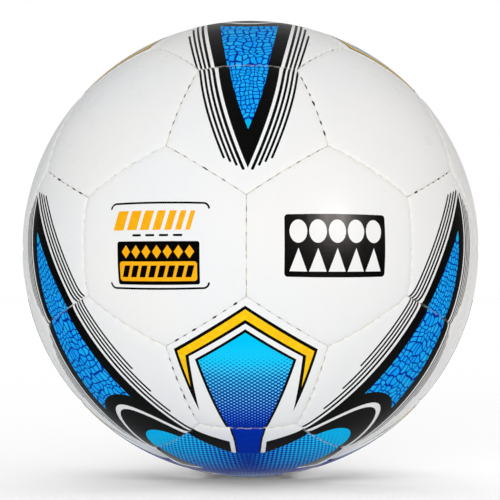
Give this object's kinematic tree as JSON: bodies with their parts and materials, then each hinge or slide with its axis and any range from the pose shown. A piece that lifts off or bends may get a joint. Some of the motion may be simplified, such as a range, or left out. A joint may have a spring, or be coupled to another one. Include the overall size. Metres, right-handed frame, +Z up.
{
  "type": "indoor soccer ball",
  "caption": "Hand-stitched inflatable soccer ball of pentagon and hexagon panels, with lining, sewn seams, bladder and needle valve.",
  "frame": {"origin": "centre of the ball", "axes": "+Z up, -Y towards the front of the ball; X, Y and Z each pass through the middle of a seam between two hexagons"},
  "size_m": [0.2006, 0.2006, 0.2006],
  "materials": {
    "white_cover": "satin coated synthetic leather",
    "printed_cover": "satin coated synthetic leather with printed ink",
    "lining_cloth": "woven cotton and polyester",
    "waxed_thread": "waxed twisted polyester",
    "bladder_rubber": "matte butyl",
    "valve_rubber": "matte moulded"
  },
  "bodies": {
    "root": {"pentagon_panel_01": "printed_cover", "pentagon_panel_02": "printed_cover", "pentagon_panel_03": "printed_cover", "pentagon_panel_04": "printed_cover", "pentagon_panel_05": "printed_cover", "pentagon_panel_06": "printed_cover", "pentagon_panel_07": "printed_cover", "pentagon_panel_08": "printed_cover", "pentagon_panel_09": "printed_cover", "pentagon_panel_10": "printed_cover", "pentagon_panel_11": "printed_cover", "pentagon_panel_12": "printed_cover", "hexagon_panel_01": "printed_cover", "hexagon_panel_02": "white_cover", "hexagon_panel_03": "white_cover", "hexagon_panel_04": "printed_cover", "hexagon_panel_05": "printed_cover", "hexagon_panel_06": "white_cover", "hexagon_panel_07": "white_cover", "hexagon_panel_08": "printed_cover", "hexagon_panel_09": "printed_cover", "hexagon_panel_10": "white_cover", "hexagon_panel_11": "white_cover", "hexagon_panel_12": "printed_cover", "hexagon_panel_13": "white_cover", "hexagon_panel_14": "white_cover", "hexagon_panel_15": "printed_cover", "hexagon_panel_16": "white_cover", "hexagon_panel_17": "white_cover", "hexagon_panel_18": "printed_cover", "hexagon_panel_19": "white_cover", "hexagon_panel_20": "white_cover", "pentagon_linings": "lining_cloth", "hexagon_linings": "lining_cloth", "pentagon_seam_threads": "waxed_thread", "hexagon_seam_threads": "waxed_thread", "bladder": "bladder_rubber", "valve_stem": "valve_rubber", "valve_plug": "valve_rubber", "valve_patch": "lining_cloth", "balance_patch": "bladder_rubber"}
  },
  "joints": []
}
